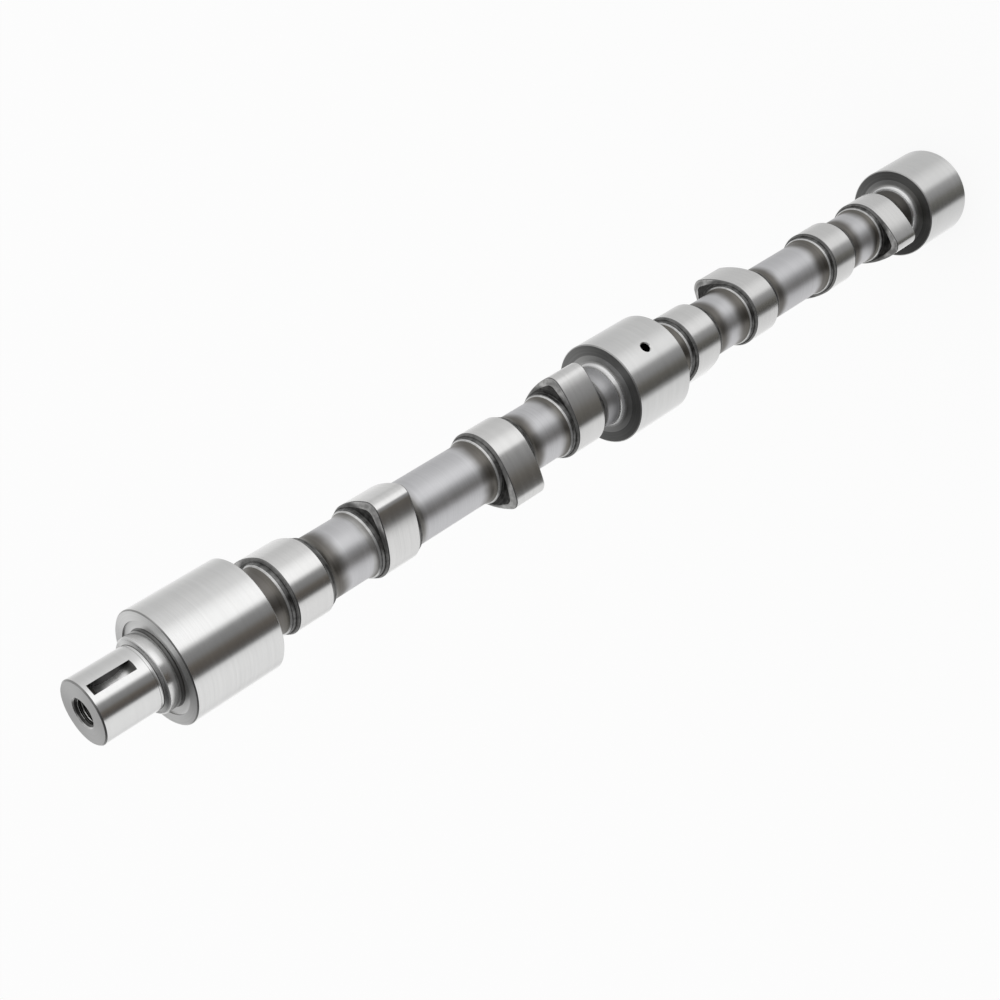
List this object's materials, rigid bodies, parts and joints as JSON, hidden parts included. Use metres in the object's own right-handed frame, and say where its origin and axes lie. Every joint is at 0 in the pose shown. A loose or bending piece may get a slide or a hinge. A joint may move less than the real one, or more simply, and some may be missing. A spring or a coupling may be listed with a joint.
{
  "type": "camshaft",
  "caption": "Engine camshaft: ground bearing journals and phased cams on one steel shaft, with a keyed, tapped nose for the timing gear.",
  "frame": {"origin": "centre of the rear end face, on the shaft axis", "axes": "+Z along the shaft axis from the rear end face to the nose; +X through the middle of the keyway"},
  "size_m": [0.05, 0.0498, 0.585],
  "materials": {
    "camshaft": "ground journals and cams, satin machined necks"
  },
  "bodies": {
    "root": {"camshaft": "camshaft"}
  },
  "joints": []
}
